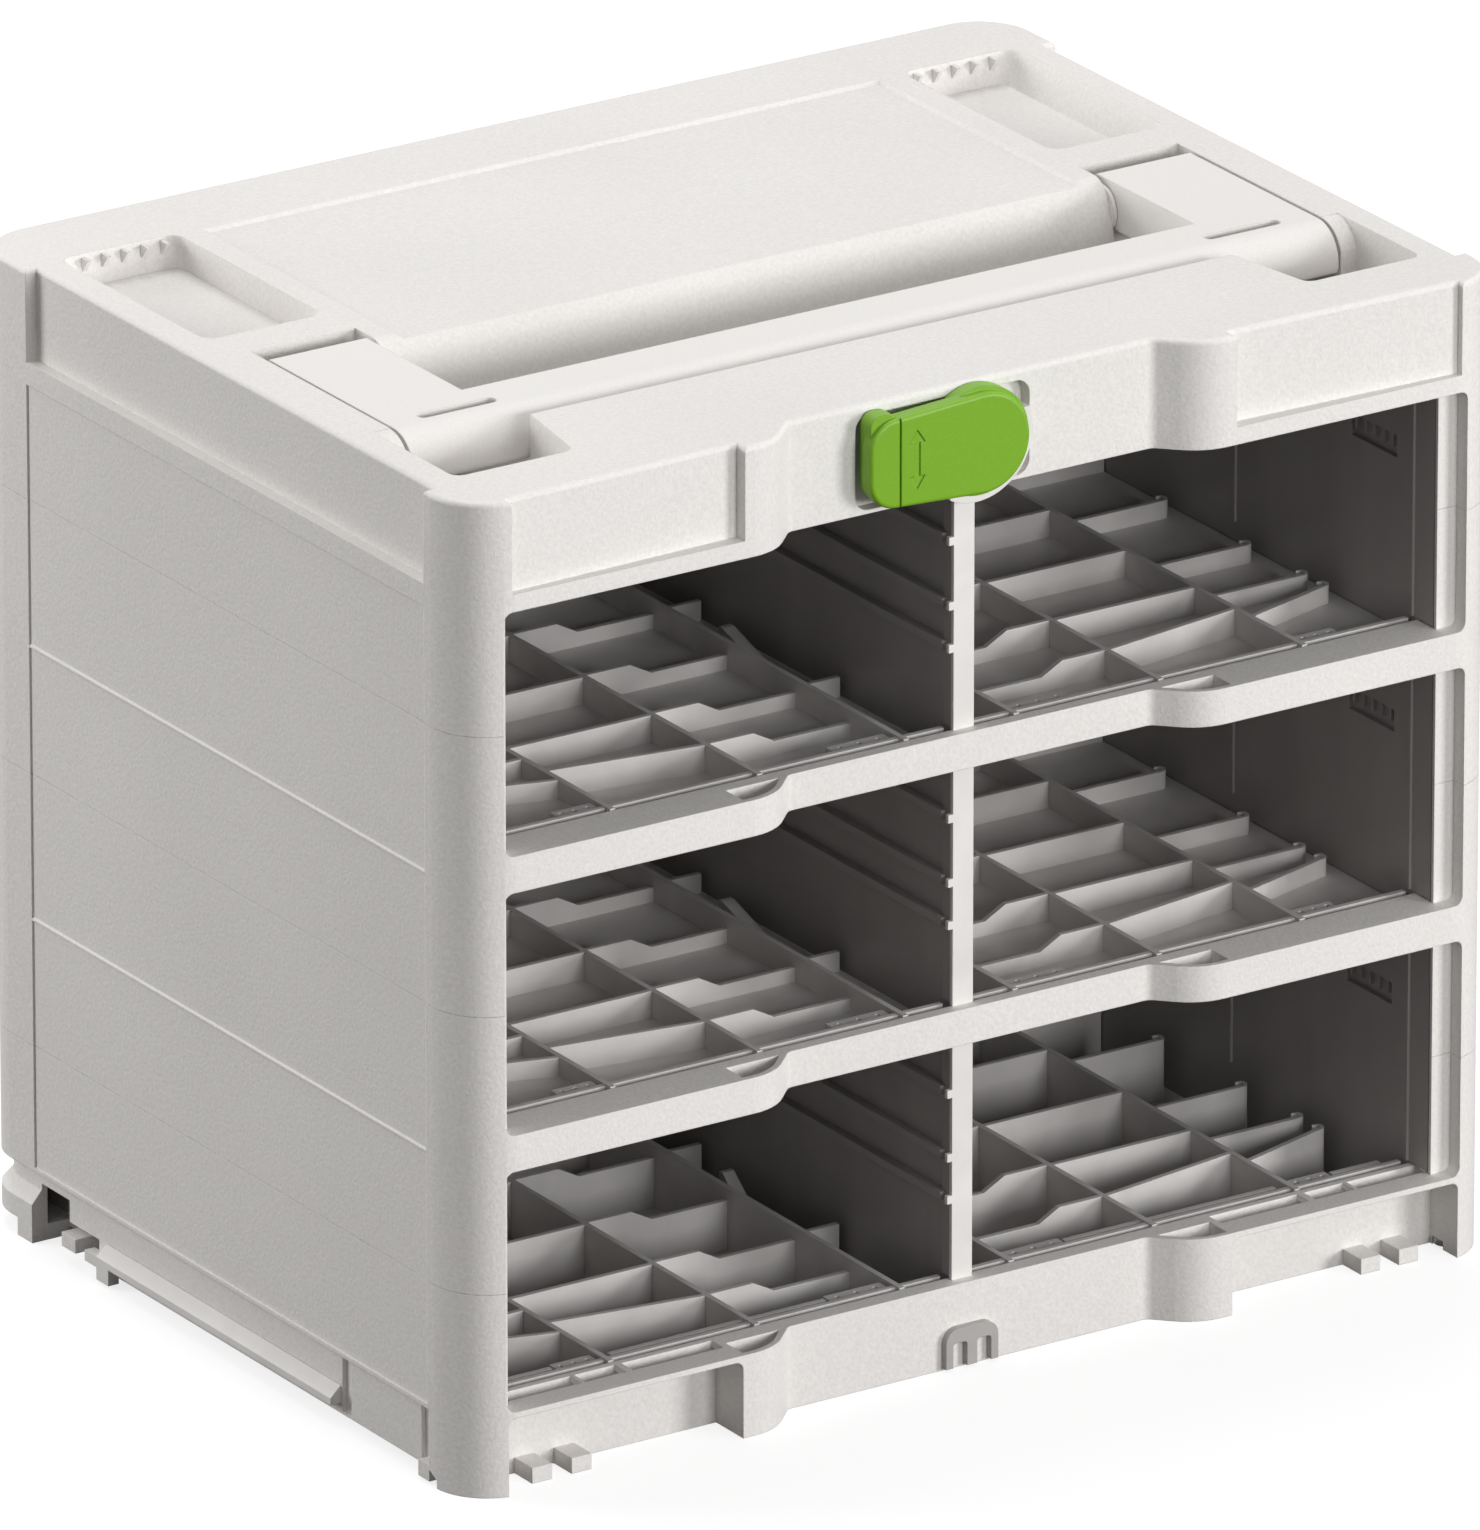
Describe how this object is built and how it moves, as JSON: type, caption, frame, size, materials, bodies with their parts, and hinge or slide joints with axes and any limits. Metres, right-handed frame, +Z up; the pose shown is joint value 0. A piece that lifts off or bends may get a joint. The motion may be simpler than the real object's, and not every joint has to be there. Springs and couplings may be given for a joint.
{
  "type": "tool case rack",
  "caption": "Stackable moulded rack with open cells in two columns for small tool cases, a folding carry handle on top and a turning latch on the front.",
  "frame": {"origin": "on the floor, under the middle of the rack", "axes": "+X to the right, +Y to the back, +Z up; the cells open towards -Y"},
  "size_m": [0.396, 0.296, 0.337],
  "materials": {
    "body": "fine eroded grain",
    "tray": "plain moulded",
    "liner": "plain moulded",
    "latch": "satin moulded",
    "steel": "zinc plated"
  },
  "bodies": {
    "housing": {"base_frame": "body", "bottom_catch": "tray", "ceiling_panel": "liner", "coupling_rail_left": "tray", "coupling_rail_right": "tray", "handle_pin_left": "steel", "handle_pin_right": "steel", "latch_seat": "body", "lower_frame": "body", "mullion_bottom": "body", "mullion_middle": "body", "mullion_top": "body", "partition_panel_bottom": "liner", "partition_panel_middle": "liner", "partition_panel_top": "liner", "shelf_tray_bottom_left": "tray", "shelf_tray_bottom_right": "tray", "shelf_tray_middle_left": "tray", "shelf_tray_middle_right": "tray", "shelf_tray_top_left": "tray", "shelf_tray_top_right": "tray", "side_liner_bottom_left": "liner", "side_liner_bottom_right": "liner", "side_liner_middle_left": "liner", "side_liner_middle_right": "liner", "side_liner_top_left": "liner", "side_liner_top_right": "liner", "tie_rods": "steel", "top_cover": "body", "tray_clips_bottom_left": "tray", "tray_clips_bottom_right": "tray", "tray_clips_middle_left": "tray", "tray_clips_middle_right": "tray", "tray_clips_top_left": "tray", "tray_clips_top_right": "tray", "upper_frame": "body"},
    "handle": {"carry_handle": "body"},
    "latch": {"latch_lever": "latch", "latch_screw": "steel", "latch_washer": "steel"}
  },
  "joints": [
    {"name": "handle_fold", "type": "hinge", "parent": "housing", "child": "handle", "pos_m": [0, -0.003, 0.3266], "axis": [-1, 0, 0], "range_deg": [0, 90]},
    {"name": "latch_turn", "type": "hinge", "parent": "housing", "child": "latch", "pos_m": [0, -0.1356, 0.3181], "axis": [0, 1, 0], "range_deg": [-90, 90]}
  ]
}
